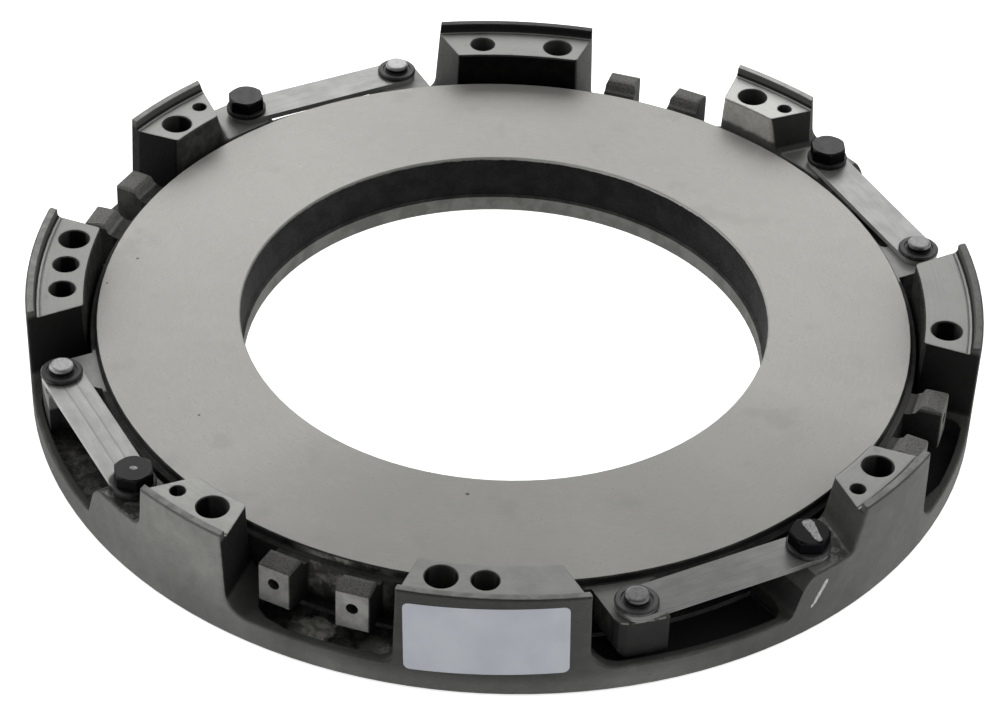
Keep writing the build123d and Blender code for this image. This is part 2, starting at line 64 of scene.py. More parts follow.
# ------------------------------------------------------------------ node helper
class Net:
    """A small wrapper that writes shader nodes as expressions."""

    def __init__(self, name, **sockets):
        self.mat = bpy.data.materials.new(name)
        self.mat.use_nodes = True
        self.t = self.mat.node_tree
        self.t.nodes.clear()
        self.out = self.t.nodes.new("ShaderNodeOutputMaterial")
        self.bsdf = self.t.nodes.new("ShaderNodeBsdfPrincipled")
        self.t.links.new(self.bsdf.outputs[0], self.out.inputs[0])
        for k, v in sockets.items():
            self.bsdf.inputs[k.replace("_", " ")].default_value = v

    def put(self, sock, v):
        if hasattr(v, "links"):
            self.t.links.new(v, sock)
        else:
            sock.default_value = v

    def new(self, kind, inputs=(), out=0, **props):
        n = self.t.nodes.new(kind)
        for k, v in props.items():
            setattr(n, k, v)
        for k, v in dict(inputs).items():
            self.put(n.inputs[k], v)
        return n.outputs[out]

    def m(self, op, a, b=None, c=None, clamp=False):
        n = self.t.nodes.new("ShaderNodeMath")
        n.operation = op
        n.use_clamp = clamp
        for i, v in enumerate((a, b, c)):
            if v is not None:
                self.put(n.inputs[i], v)
        return n.outputs[0]

    def add(self, a, b):
        return self.m("ADD", a, b)

    def sub(self, a, b):
        return self.m("SUBTRACT", a, b)

    def mul(self, *a):
        out = a[0]
        for b in a[1:]:
            out = self.m("MULTIPLY", out, b)
        return out

    def vmath(self, op, a, b=None, scale=None, out=0):
        n = self.t.nodes.new("ShaderNodeVectorMath")
        n.operation = op
        self.put(n.inputs[0], a)
        if b is not None:
            self.put(n.inputs[1], b)
        if scale is not None:
            self.put(n.inputs["Scale"], scale)
        return n.outputs[out]

    def ramp(self, x, lo, hi, a=0.0, b=1.0, smooth=True):
        n = self.t.nodes.new("ShaderNodeMapRange")
        n.interpolation_type = "SMOOTHSTEP" if smooth else "LINEAR"
        n.clamp = True
        self.put(n.inputs[0], x)
        for i, v in enumerate((lo, hi, a, b)):
            self.put(n.inputs[1 + i], v)
        return n.outputs[0]

    def band(self, x, mid, half, soft=0.1):
        return self.ramp(self.m("ABSOLUTE", self.sub(x, mid)), half - soft, half + soft, 1.0, 0.0)

    def mix(self, f, a, b, mode="MIX"):
        n = self.t.nodes.new("ShaderNodeMix")
        n.data_type = "RGBA"
        n.blend_type = mode
        n.clamp_factor = True
        self.put(n.inputs[0], f)
        for i, v in ((6, a), (7, b)):
            self.put(n.inputs[i], v if hasattr(v, "links") else tuple(v) + (1.0,))
        return n.outputs[2]

    def fmix(self, f, a, b):
        n = self.t.nodes.new("ShaderNodeMix")
        n.data_type = "FLOAT"
        n.clamp_factor = True
        self.put(n.inputs[0], f)
        self.put(n.inputs[2], a)
        self.put(n.inputs[3], b)
        return n.outputs[0]

    def noise(self, vec, scale, detail=4.0, rough=0.55, distort=0.0):
        n = self.t.nodes.new("ShaderNodeTexNoise")
        self.put(n.inputs["Vector"], vec)
        n.inputs["Scale"].default_value = scale
        n.inputs["Detail"].default_value = detail
        n.inputs["Roughness"].default_value = rough
        n.inputs["Distortion"].default_value = distort
        return n.outputs[0]

    def spots(self, vec, scale, lo, hi, feature="F1"):
        n = self.t.nodes.new("ShaderNodeTexVoronoi")
        n.feature = feature
        self.put(n.inputs["Vector"], vec)
        n.inputs["Scale"].default_value = scale
        return self.ramp(n.outputs[0], lo, hi, 1.0, 0.0)

    def stretch(self, vec, sx, sy, sz):
        return self.vmath("MULTIPLY", vec, (sx, sy, sz))

    def bump(self, height, strength, dist, under=None):
        n = self.t.nodes.new("ShaderNodeBump")
        n.inputs["Strength"].default_value = strength
        n.inputs["Distance"].default_value = dist
        self.put(n.inputs["Height"], height)
        if under is not None:
            self.put(n.inputs["Normal"], under)
        return n.outputs[0]

    def place(self):
        """Object-space position in mm, with radius, direction and normal parts."""
        tc = self.t.nodes.new("ShaderNodeTexCoord")
        P = self.vmath("SCALE", tc.outputs["Object"], scale=1000.0)
        s = self.t.nodes.new("ShaderNodeSeparateXYZ")
        self.put(s.inputs[0], P)
        x, y, z = s.outputs
        flat = self.new("ShaderNodeCombineXYZ", {0: x, 1: y, 2: 0.0})
        r = self.vmath("LENGTH", flat, out=1)
        d = self.vmath("NORMALIZE", flat)
        g = self.t.nodes.new("ShaderNodeNewGeometry")
        nrm = g.outputs["Normal"]
        sn = self.t.nodes.new("ShaderNodeSeparateXYZ")
        self.put(sn.inputs[0], nrm)
        nr = self.vmath("DOT_PRODUCT", nrm, d, out=1)
        self.P, self.x, self.y, self.z, self.r, self.d = P, x, y, z, r, d
        self.n, self.nz, self.nr = nrm, sn.outputs[2], nr
        self.ang = self.mul(self.m("ARCTAN2", y, x), 180.0 / math.pi)
        return P

    def near(self, deg, half, soft=1.0):
        """1 within half degrees of a direction about the axis, 0 beyond."""
        v = pol(1.0, deg)
        dot = self.vmath("DOT_PRODUCT", self.d, (v.x, v.y, 0.0), out=1)
        return self.ramp(dot, math.cos(math.radians(half + soft)),
                         math.cos(math.radians(max(half - soft, 0.0))), smooth=False)

    def facing(self, deg, lo=0.6, hi=0.9):
        """1 where the surface faces that horizontal direction."""
        v = pol(1.0, deg)
        return self.ramp(self.vmath("DOT_PRODUCT", self.n, (v.x, v.y, 0.0), out=1), lo, hi)

    def soft_edge(self, radius):
        """Normal rounded over sharp edges, radius in mm."""
        return self.new("ShaderNodeBevel", {"Radius": radius * 0.001}, samples=4)

    def gain(self, col, parts):
        """Scale a colour by direction about the axis: parts are (deg, half, soft, factor)."""
        g = 1.0
        for deg, half, soft, f in parts:
            g = self.mul(g, self.ramp(self.near(deg, half, soft), 0.0, 1.0, 1.0, f, smooth=False))
        return self.mix(1.0, col, self.new("ShaderNodeCombineColor", {0: g, 1: g, 2: g}), "MULTIPLY")

    def done(self, color=None, rough=None, normal=None, metal=None):
        for k, v in (("Base Color", color), ("Roughness", rough), ("Normal", normal), ("Metallic", metal)):
            if v is not None:
                self.put(self.bsdf.inputs[k], v)
        return self.mat


def grey(v, warm=0.0):
    return (v * (1 + warm), v, v * (1 - warm))


# ------------------------------------------------------------------ materials
def cast_ring():
    m = Net("cast_ring_iron", Specular_IOR_Level=0.35)
    P = m.place()
    up = m.ramp(m.nz, 0.86, 0.95)
    pad = m.mul(up, m.band(m.z, 53.72, 0.4))
    rim = m.mul(up, m.ramp(m.z, 57.4, 57.8))
    seat = m.mul(up, m.band(m.z, 34.67, 0.5), m.ramp(m.r, 205.5, 206.0))
    side = m.ramp(m.m("ABSOLUTE", m.nz), 0.5, 0.25)
    outer = m.mul(m.ramp(m.nr, 0.55, 0.85), m.ramp(m.r, 232.6, 233.6))
    inner = m.mul(m.ramp(m.nr, -0.55, -0.85), m.ramp(m.z, 14.5, 17.0), m.ramp(m.r, 214.0, 212.0))
    # casting skin: broad mottling, grain and pits
    big = m.noise(P, 0.035, 3.0, 0.6, 0.4)
    mid = m.noise(P, 0.16, 5.0, 0.62, 0.3)
    fine = m.noise(P, 0.9, 4.0, 0.7)
    grain = m.noise(P, 2.6, 2.0, 0.6)
    pits = m.spots(P, 0.33, 0.10, 0.28)
    tone = m.add(m.mul(big, 0.5), m.add(m.mul(mid, 0.28), m.mul(fine, 0.3)))
    skin = m.mix(m.ramp(tone, 0.34, 0.78), (0.078, 0.078, 0.075), (0.124, 0.124, 0.119))
    # outer wall: painted light and shade by place, darkest at the front lug, paler on the lugs beside it
    wall_light_shade = m.add(1.0, m.add(m.mul(m.near(240.0, 14.0, 10.0), 0.78), m.mul(m.near(332.0, 13.0, 9.0), 0.40)))
    wall_light_shade = m.add(wall_light_shade, m.mul(m.near(275.0, 12.0, 5.0), -0.55))
    wall_light_shade = m.add(wall_light_shade, m.mul(m.near(240.0, 10.0, 5.0), m.ramp(m.z, 20.0, 36.0), 0.45))
    wall_light_shade = m.mul(wall_light_shade, m.ramp(m.near(258.0, 7.0, 4.0), 0.0, 1.0, 1.0, 0.72, smooth=False))
    low_left_shade = m.mul(m.near(244.0, 14.0, 8.0), m.ramp(m.z, 22.0, 8.0))
    wall_light_shade = m.mul(wall_light_shade, m.ramp(low_left_shade, 0.0, 1.0, 1.0, 0.74, smooth=False))
    wall_light_shade = m.mul(wall_light_shade, m.ramp(m.near(314.0, 7.0, 4.0), 0.0, 1.0, 1.0, 0.86, smooth=False))
    wall_light_shade = m.add(wall_light_shade, m.mul(m.ramp(m.z, 14.0, 4.0), m.mul(m.near(275.0, 22.0, 6.0), 0.6)))
    wall = m.mix(1.0, skin, m.new("ShaderNodeCombineColor", {0: wall_light_shade, 1: wall_light_shade, 2: m.mul(wall_light_shade, 0.98)}), "MULTIPLY")
    col = m.mix(outer, skin, wall)
    # pale rubbed flecks on the casting
    fleck = m.mul(m.spots(P, 0.11, 0.02, 0.10), m.ramp(fine, 0.52, 0.66))
    col = m.mix(m.mul(fleck, 0.5), col, (0.20, 0.20, 0.19))
    # inner faces and pocket floors: painted shade, near black, with painted light in a few places
    floor = m.mul(up, m.band(m.z, 6.0, 3.0, 0.5))
    floor_mottle = m.ramp(m.add(m.mul(mid, 0.6), m.mul(fine, 0.4)), 0.44, 0.60)
    # painted light: the floor paler in two sectors and near the wall on the left
    floor_lit_sectors = m.m("MAXIMUM", m.near(259.0, 9.0, 2.0), m.near(214.0, 11.0, 4.0))
    floor_col = m.mix(m.mul(floor_mottle, floor_lit_sectors), (0.020, 0.020, 0.020), (0.13, 0.128, 0.12))
    left_floor = m.mul(m.near(215.0, 11.0, 3.0), m.ramp(m.r, 216.0, 226.0))
    floor_col = m.mix(left_floor, floor_col, m.mix(floor_mottle, (0.10, 0.10, 0.094), (0.30, 0.295, 0.27)))
    # painted light: a pale noisy patch on the pocket floor
    floor_light_patch = m.mul(m.near(259.5, 7.5, 1.0), m.ramp(m.r, 212.0, 216.0), m.ramp(m.noise(P, 0.045, 2.0, 0.5, 0.3), 0.47, 0.60))
    floor_col = m.mix(m.mul(floor_light_patch, 0.9), floor_col, (0.34, 0.335, 0.31))
    # painted pool of light on the pocket floor, round two points
    floor_light_pool = m.ramp(m.add(m.vmath("DISTANCE", P, (-56.8, -211.0, 6.0), out=1), m.mul(m.sub(m.noise(P, 0.12, 3.0, 0.6), 0.5), 22.0)), 10.0, 6.5)
    floor_light_pool = m.m("MAXIMUM", floor_light_pool, m.ramp(m.add(m.vmath("DISTANCE", P, (-25.9, -219.2, 6.0), out=1), m.mul(m.sub(fine, 0.5), 9.0)), 5.0, 3.0))
    floor_col = m.mix(m.mul(floor_light_pool, 0.9), floor_col, m.mix(m.ramp(mid, 0.4, 0.6), (0.36, 0.352, 0.32), (0.78, 0.765, 0.71)))
    col = m.mix(m.mul(m.ramp(m.z, 13.0, 9.5), m.ramp(m.nz, 0.1, 0.5), 0.92), col, floor_col)
    at_l1, at_l8, at_l2 = m.near(96.0, 15.0, 1.0), m.near(60.0, 9.0, 1.0), m.near(150.0, 9.0, 1.0)
    # painted shade on the inner faces, darkest at lug 1 and low on lug 8; painted light high on lug 2 and on lug 8's
    # face
    in_col = m.mix(m.ramp(mid, 0.35, 0.65), (0.018, 0.018, 0.017), (0.040, 0.040, 0.038))
    in_col = m.mix(m.mul(at_l2, m.ramp(m.z, 20.0, 45.0)), in_col, m.mix(m.ramp(mid, 0.35, 0.65), (0.06, 0.06, 0.056), (0.11, 0.11, 0.10)))
    in_col = m.mix(at_l1, in_col, m.mix(m.ramp(mid, 0.35, 0.65), (0.005, 0.005, 0.005), (0.010, 0.010, 0.009)))
    in_col = m.mix(at_l8, in_col, m.mix(m.ramp(m.add(m.mul(mid, 0.5), m.mul(fine, 0.5)), 0.38, 0.62), (0.62, 0.61, 0.57), (0.80, 0.785, 0.74)))
    in_col = m.mix(m.mul(at_l8, m.ramp(m.add(m.z, m.mul(mid, 3.0)), 43.2, 40.6), 0.8), in_col, (0.06, 0.059, 0.055))
    col = m.mix(inner, col, in_col)
    # painted shade: upright side faces near black, except a few flanks kept lit
    side = m.mul(side, m.ramp(m.m("ABSOLUTE", m.nr), 0.72, 0.45), m.ramp(m.z, 12.0, 20.0), m.ramp(m.z, 57.0, 53.0))
    flank_kept_lit = m.m("MAXIMUM", m.near(96.0, 22.0, 1.0), m.near(322.0, 5.0, 2.0))
    flank_kept_lit = m.m("MAXIMUM", flank_kept_lit, m.m("MAXIMUM", m.near(65.0, 5.5, 1.5), m.mul(m.near(54.0, 4.0, 1.5), 0.35)))
    flank_painted_shade = m.mul(side, m.sub(1.0, flank_kept_lit))
    col = m.mix(m.mul(flank_painted_shade, 0.88), col, (0.007, 0.007, 0.007))
    # machined faces
    rings = m.noise(m.new("ShaderNodeCombineXYZ", {0: m.mul(m.r, 1.6), 1: m.mul(m.ang, 0.05), 2: 0.0}), 1.0, 3.0, 0.6)
    cloud = m.noise(P, 0.08, 4.0, 0.6)
    pad_col = m.mix(m.ramp(m.add(m.mul(cloud, 0.7), m.mul(rings, 0.3)), 0.35, 0.65), (0.305, 0.305, 0.291), (0.40, 0.40, 0.385))
    stain = m.mul(m.spots(P, 0.09, 0.05, 0.30), m.ramp(mid, 0.50, 0.62))
    pad_col = m.mix(m.mul(stain, 0.35), pad_col, (0.14, 0.138, 0.13))
    # painted light and shade: pads lighter or darker lug by lug
    pad_col = m.gain(pad_col, ((240.0, 14.0, 3.0, 1.32), (60.0, 14.0, 3.0, 1.55), (96.0, 15.0, 3.0, 0.80),
                               (276.0, 15.0, 3.0, 0.90), (6.0, 15.0, 3.0, 0.92), (186.0, 15.0, 3.0, 0.93)))
    # painted shadow on the seats round bolts 1, 3 and 4
    pad_col = m.mix(m.mul(seat, m.near(48.0, 6.0, 1.5), 0.6), pad_col, (0.15, 0.148, 0.14))
    seat_shadow_mottle = m.ramp(m.add(m.mul(mid, 0.6), m.mul(fine, 0.4)), 0.50, 0.56)
    pad_col = m.mix(m.mul(seat, m.near(229.5, 6.0, 0.8), 0.9), pad_col, m.mix(seat_shadow_mottle, (0.022, 0.022, 0.021), (0.22, 0.215, 0.20)))
    pad_col = m.mix(m.mul(seat, m.near(320.5, 3.2, 1.0), 0.85), pad_col, m.mix(seat_shadow_mottle, (0.035, 0.035, 0.033), (0.17, 0.167, 0.155)))
    machined = m.m("MAXIMUM", pad, seat)
    col = m.mix(machined, col, pad_col)
    rim_col = m.mix(m.ramp(mid, 0.35, 0.65), (0.20, 0.20, 0.19), (0.31, 0.31, 0.295))
    # painted light and shade: rim tops near black at lug 1, darker at 6 degrees, lighter at lug 8
    rim_col = m.mix(at_l1, rim_col, (0.03, 0.03, 0.029))
    rim_col = m.gain(rim_col, ((6.0, 14.0, 3.0, 0.5), (60.0, 12.0, 3.0, 1.6)))
    # painted shadow: the rim's inner face near black along its foot, and all of it at lug 1
    rim_in = m.mul(m.ramp(m.nr, -0.2, -0.5), m.ramp(m.z, 53.9, 54.1))
    rim_foot_shadow = m.m("MAXIMUM", m.ramp(m.z, 55.4, 54.7), at_l1)
    col = m.mix(m.mul(rim_in, 0.9), col, m.mix(rim_foot_shadow, (0.17, 0.17, 0.165), (0.010, 0.010, 0.010)))
    col = m.mix(rim, col, rim_col)
    h = m.add(m.mul(fine, 0.5), m.add(m.mul(grain, 0.22), m.mul(mid, 0.6)))
    h = m.sub(h, m.mul(pits, 0.25))
    rough_part = m.sub(1.0, m.m("MAXIMUM", machined, rim))
    nrm = m.bump(m.mul(h, rough_part), 0.8, 0.0007, m.soft_edge(1.3))
    nrm = m.bump(m.mul(rings, machined), 0.25, 0.00005, nrm)
    rough = m.fmix(m.m("MAXIMUM", machined, rim), m.ramp(fine, 0.3, 0.7, 0.62, 0.82), m.ramp(cloud, 0.3, 0.7, 0.36, 0.5))
    metal = m.fmix(machined, 0.2, 0.45)
    m.put(m.bsdf.inputs["Specular IOR Level"], m.ramp(m.m("MAXIMUM", flank_painted_shade, inner), 0.0, 1.0, 0.35, 0.10))
    return m.done(col, rough, nrm, metal)


def ground_plate():
    m = Net("ground_plate_iron", Specular_IOR_Level=0.4)
    P = m.place()
    up = m.ramp(m.nz, 0.86, 0.96)
    face = m.mul(up, m.ramp(m.z, 38.2, 38.5), m.ramp(m.r, 203.4, 203.0))
    ears = m.m("MAXIMUM", m.m("MAXIMUM", m.near(22.4, 4.6, 0.3), m.near(112.4, 4.6, 0.3)),
               m.m("MAXIMUM", m.near(202.4, 4.6, 0.3), m.near(292.4, 4.6, 0.3)))
    shoulder = m.mul(up, m.band(m.z, 34.67, 1.2, 0.3), m.ramp(m.r, 202.3, 203.0), ears)
    lug = m.mul(m.ramp(m.r, 203.4, 204.0), m.ramp(m.z, 35.0, 35.6))
    bore = m.mul(m.ramp(m.r, 134.0, 133.0), m.ramp(m.m("ABSOLUTE", m.nz), 0.6, 0.4))
    land = m.mul(bore, m.ramp(m.z, 15.2, 14.5))
    under = m.ramp(m.nz, -0.86, -0.96)
    big = m.noise(P, 0.012, 3.0, 0.55, 0.3)
    mid = m.noise(P, 0.10, 4.0, 0.6)
    fine = m.noise(P, 1.1, 3.0, 0.65)
    grain = m.noise(P, 3.2, 2.0, 0.6)
    # ground face: warm light grey, faint clouds, short grinding marks and specks
    lay = m.noise(m.new("ShaderNodeCombineXYZ", {0: m.mul(m.r, 0.9), 1: m.mul(m.ang, 0.35), 2: 0.0}), 1.0, 4.0, 0.65)
    tone = m.add(m.mul(big, 0.5), m.add(m.mul(mid, 0.25), m.mul(lay, 0.25)))
    face_col = m.mix(m.ramp(tone, 0.36, 0.64), (0.492, 0.485, 0.455), (0.590, 0.582, 0.550))
    speck = m.mul(m.spots(P, 0.085, 0.015, 0.055), m.ramp(mid, 0.45, 0.62))
    speck2 = m.mul(m.spots(m.vmath("ADD", P, (31.0, 17.0, 5.0)), 0.19, 0.02, 0.07), m.ramp(mid, 0.56, 0.66))
    face_col = m.mix(m.mul(m.m("MAXIMUM", speck, speck2), 0.5), face_col, (0.20, 0.195, 0.175))
    smear = m.mul(m.ramp(m.noise(m.vmath("ADD", P, (70.0, -20.0, 0.0)), 0.045, 2.0, 0.5), 0.60, 0.74), 0.25)
    face_col = m.mix(smear, face_col, (0.36, 0.355, 0.33))
    # painted shade: the face darker towards the front and front right, and in front of the rear lug
    face_col = m.gain(face_col, ((275.0, 22.0, 22.0, 0.74), (318.0, 14.0, 12.0, 0.84), (88.0, 25.0, 25.0, 0.84)))
    grit = m.mul(m.ramp(fine, 0.54, 0.64), m.ramp(mid, 0.40, 0.60))
    face_col = m.mix(m.mul(grit, 0.30), face_col, (0.27, 0.262, 0.24))
    for px, py, pr in ((1.6, -143.3, 1.0), (-188.4, 9.4, 0.8), (-198.9, -13.4, 0.6), (-132.5, -107.7, 0.7)):
        pit = m.ramp(m.vmath("DISTANCE", P, (px, py, 38.67), out=1), pr * 0.6, pr * 1.3, 1.0, 0.0)
        face_col = m.mix(m.mul(pit, 0.85), face_col, (0.07, 0.07, 0.065))
    # rough cast sides
    skin = m.mix(m.ramp(m.add(m.mul(mid, 0.6), m.mul(fine, 0.4)), 0.38, 0.66), (0.028, 0.028, 0.026), (0.085, 0.084, 0.08))
    bore_col = m.mix(m.ramp(mid, 0.35, 0.68), (0.009, 0.009, 0.009), (0.021, 0.021, 0.021))
    edge_wob = m.add(m.z, m.mul(m.sub(m.noise(P, 0.25, 3.0, 0.6), 0.5), 1.4))
    # painted highlight: a pale line along the bore's top edge, brightest towards the back right
    bore_edge_highlight = m.mul(bore, m.ramp(edge_wob, 37.0, 37.7))
    # painted shade: bore wall darker at the back
    bore_col = m.gain(bore_col, ((90.0, 40.0, 20.0, 0.6),))
    bore_edge_highlight_col = m.mix(m.near(45.0, 40.0, 20.0), (0.24, 0.235, 0.22), (0.62, 0.61, 0.58))
    bore_col = m.mix(m.mul(bore_edge_highlight, 0.85), bore_col, bore_edge_highlight_col)
    land_col = m.mix(m.ramp(mid, 0.4, 0.6), (0.14, 0.14, 0.13), (0.19, 0.19, 0.18))
    bore_col = m.mix(land, bore_col, land_col)
    ear_col = m.mix(m.ramp(mid, 0.35, 0.65), (0.36, 0.36, 0.347), (0.44, 0.44, 0.423))
    # painted shade: the front ear's top darker
    ear_col = m.gain(ear_col, ((292.4, 6.0, 2.0, 0.6),))
    stop_face = m.mul(m.ramp(m.nr, 0.8, 0.95), m.ramp(m.r, 223.2, 223.6), m.ramp(m.z, 16.0, 18.0),
                      m.ramp(m.r, 226.4, 226.0))
    stop_col = m.mix(m.ramp(mid, 0.35, 0.65), (0.112, 0.110, 0.105), (0.165, 0.163, 0.155))
    # painted light: stop-lug faces lighter at 250 and 260 degrees
    stop_col = m.gain(stop_col, ((250.0, 4.5, 1.0, 1.6), (260.0, 4.5, 1.0, 2.1)))
    stop_top = m.mul(lug, m.ramp(m.nz, 0.0, 0.5))
    top_col = m.mix(m.ramp(fine, 0.35, 0.65), (0.085, 0.084, 0.080), (0.165, 0.162, 0.153))
    col = m.mix(bore, skin, bore_col)
    # bore chamfer: pale machined band, with a painted highlight towards the back right
    chamfer = m.mul(m.ramp(m.r, 134.5, 133.5), m.ramp(m.nz, 0.35, 0.5), m.ramp(m.z, 34.0, 35.0))
    col = m.mix(chamfer, col, m.mix(m.near(45.0, 40.0, 20.0), (0.40, 0.395, 0.37), (0.62, 0.61, 0.58)))
    # painted shade: the gap between plate and ring near black, with painted light on it between the stop lugs
    gap = m.mul(m.ramp(m.r, 201.9, 202.3), m.ramp(m.r, 209.5, 207.5), m.ramp(m.z, 8.0, 12.0))
    gap = m.mul(gap, m.ramp(m.nz, 0.6, 0.3))
    between = m.mul(m.near(256.0, 5.0, 3.0), m.ramp(m.z, 12.0, 24.0))
    gap_col = m.mix(between, (0.008, 0.008, 0.008), m.mix(m.ramp(mid, 0.42, 0.60), (0.07, 0.069, 0.064), (0.36, 0.353, 0.325)))
    col = m.mix(m.mul(gap, 0.85), col, gap_col)
    neck = m.mul(m.ramp(m.nz, 0.3, 0.6), m.ramp(m.r, 202.3, 203.0), m.ramp(m.r, 209.0, 207.0), m.near(345.0, 9.0, 1.5))
    col = m.mix(m.mul(neck, 0.8), col, (0.15, 0.148, 0.138))
    # painted shade: stop-lug flanks near black
    flank = m.mul(m.ramp(m.r, 206.0, 208.0), m.ramp(m.m("ABSOLUTE", m.nr), 0.6, 0.3), m.ramp(m.m("ABSOLUTE", m.nz), 0.6, 0.3),
                  m.m("MAXIMUM", m.near(255.0, 10.0, 1.0), m.near(345.0, 10.0, 1.0)))
    col = m.mix(m.mul(flank, 0.85), col, (0.006, 0.006, 0.0055))
    # painted shade: the ears' outer faces near black
    ear_out = m.mul(m.ramp(m.r, 222.0, 226.0), m.ramp(m.z, 34.3, 33.8), m.ramp(m.nz, 0.6, 0.3),
                    m.m("MAXIMUM", m.near(292.4, 8.0, 1.0), m.near(22.4, 8.0, 1.0)))
    col = m.mix(m.mul(ear_out, 0.9), col, m.mix(m.ramp(fine, 0.4, 0.62), (0.003, 0.003, 0.003), (0.013, 0.013, 0.012)))
    # painted light on the left ear's side above, painted shadow below
    left_ear = m.mul(m.ramp(m.r, 222.0, 226.0), m.ramp(m.nz, 0.6, 0.3), m.near(202.4, 8.0, 1.0))
    col = m.mix(left_ear, col, m.mix(m.ramp(m.z, 26.0, 28.0), (0.010, 0.010, 0.010), (0.20, 0.20, 0.19)))
    burr = m.mul(m.ramp(m.r, 228.6, 229.3), m.ramp(m.z, 33.2, 34.0), m.ramp(m.noise(P, 0.3, 3.0), 0.4, 0.55))
    col = m.mix(m.mul(burr, 0.8), col, (0.28, 0.28, 0.27))
    col = m.mix(stop_face, col, stop_col)
    # painted light: stop-lug tops lighter at 75, 165 and 345 degrees
    top_col = m.gain(top_col, ((75.0, 12.0, 3.0, 1.5), (165.0, 12.0, 3.0, 1.8), (345.0, 12.0, 3.0, 1.7)))
    col = m.mix(stop_top, col, top_col)
    col = m.mix(shoulder, col, ear_col)
    col = m.mix(m.m("MAXIMUM", face, under), col, face_col)
    smooth_part = m.m("MAXIMUM", m.m("MAXIMUM", face, under), shoulder)
    rough_part = m.sub(1.0, m.m("MAXIMUM", smooth_part, land))
    h = m.add(m.mul(fine, 0.5), m.add(m.mul(grain, 0.2), m.mul(mid, 0.5)))
    nrm = m.bump(m.mul(h, rough_part), 0.9, 0.0008, m.soft_edge(0.6))
    nrm = m.bump(m.mul(m.add(m.mul(lay, 0.6), m.mul(fine, 0.4)), smooth_part), 0.18, 0.00005, nrm)
    rough = m.fmix(smooth_part, m.ramp(fine, 0.3, 0.7, 0.6, 0.8), m.ramp(tone, 0.35, 0.65, 0.46, 0.54))
    metal = m.mul(m.fmix(smooth_part, 0.2, 0.3), m.ramp(bore, 0.0, 1.0, 1.0, 0.3))
    m.put(m.bsdf.inputs["Specular IOR Level"], m.ramp(bore, 0.0, 1.0, 0.4, 0.12))
    return m.done(col, rough, nrm, metal)


def spring_steel():
    m = Net("spring_steel_leaf", Specular_IOR_Level=0.5, Metallic=0.6)
    uv = m.t.nodes.new("ShaderNodeUVMap")
    uv.uv_map = "lay"
    U = m.vmath("SCALE", uv.outputs[0], scale=1000.0)
    s = m.t.nodes.new("ShaderNodeSeparateXYZ")
    m.put(s.inputs[0], U)
    u, v = s.outputs[0], s.outputs[1]
    tc = m.t.nodes.new("ShaderNodeTexCoord")
    P = m.vmath("SCALE", tc.outputs["Object"], scale=1000.0)
    m.place()
    brush = m.noise(m.stretch(U, 0.05, 2.4, 1.0), 1.0, 4.0, 0.7)
    soft = m.noise(m.stretch(U, 0.05, 0.22, 1.0), 1.0, 3.0, 0.6)
    cloud = m.noise(P, 0.07, 4.0, 0.6)
    col = m.mix(m.ramp(m.add(m.mul(brush, 0.35), m.add(m.mul(soft, 0.3), m.mul(cloud, 0.35))), 0.36, 0.64),
                (0.33, 0.33, 0.322), (0.47, 0.47, 0.46))
    wob = m.mul(m.sub(m.noise(m.stretch(U, 0.03, 0.0, 1.0), 1.0, 2.0), 0.5), 0.7)
    for at in (-3.4, 2.9):
        line = m.ramp(m.m("ABSOLUTE", m.sub(m.add(v, wob), at)), 0.15, 0.75, 1.0, 0.0)
        col = m.mix(m.mul(line, m.ramp(m.vmath("DOT_PRODUCT", P, (-1.0, -0.55, 0.0), out=1), 150.0, 190.0, 0.1, 0.5)), col, (0.20, 0.20, 0.19))
    speck = m.mul(m.spots(P, 0.2, 0.02, 0.08), m.ramp(cloud, 0.5, 0.6))
    col = m.mix(m.mul(speck, 0.5), col, (0.2, 0.2, 0.19))
    # painted light and shade: leaves much darker on the front-right strap, a little darker on two others, a little
    # lighter on the left one
    col = m.gain(col, ((298.0, 14.0, 12.0, 0.50), (125.0, 20.0, 4.0, 0.85), (35.0, 20.0, 4.0, 0.88), (215.0, 20.0, 4.0, 1.04)))
    # leaves near black within about 12 mm of bolt 3
    b3 = pol(221.2, 46.55 + 180)
    bolt_3_dark_disc = m.ramp(m.vmath("DISTANCE", P, (b3.x, b3.y, 37.0), out=1), 13.5, 11.5)
    col = m.mix(m.mul(bolt_3_dark_disc, 0.93), col, (0.018, 0.018, 0.018))
    nrm = m.bump(m.add(m.mul(brush, 0.7), m.mul(soft, 0.3)), 0.22, 0.00008)
    return m.done(col, m.ramp(brush, 0.3, 0.7, 0.36, 0.5), nrm)


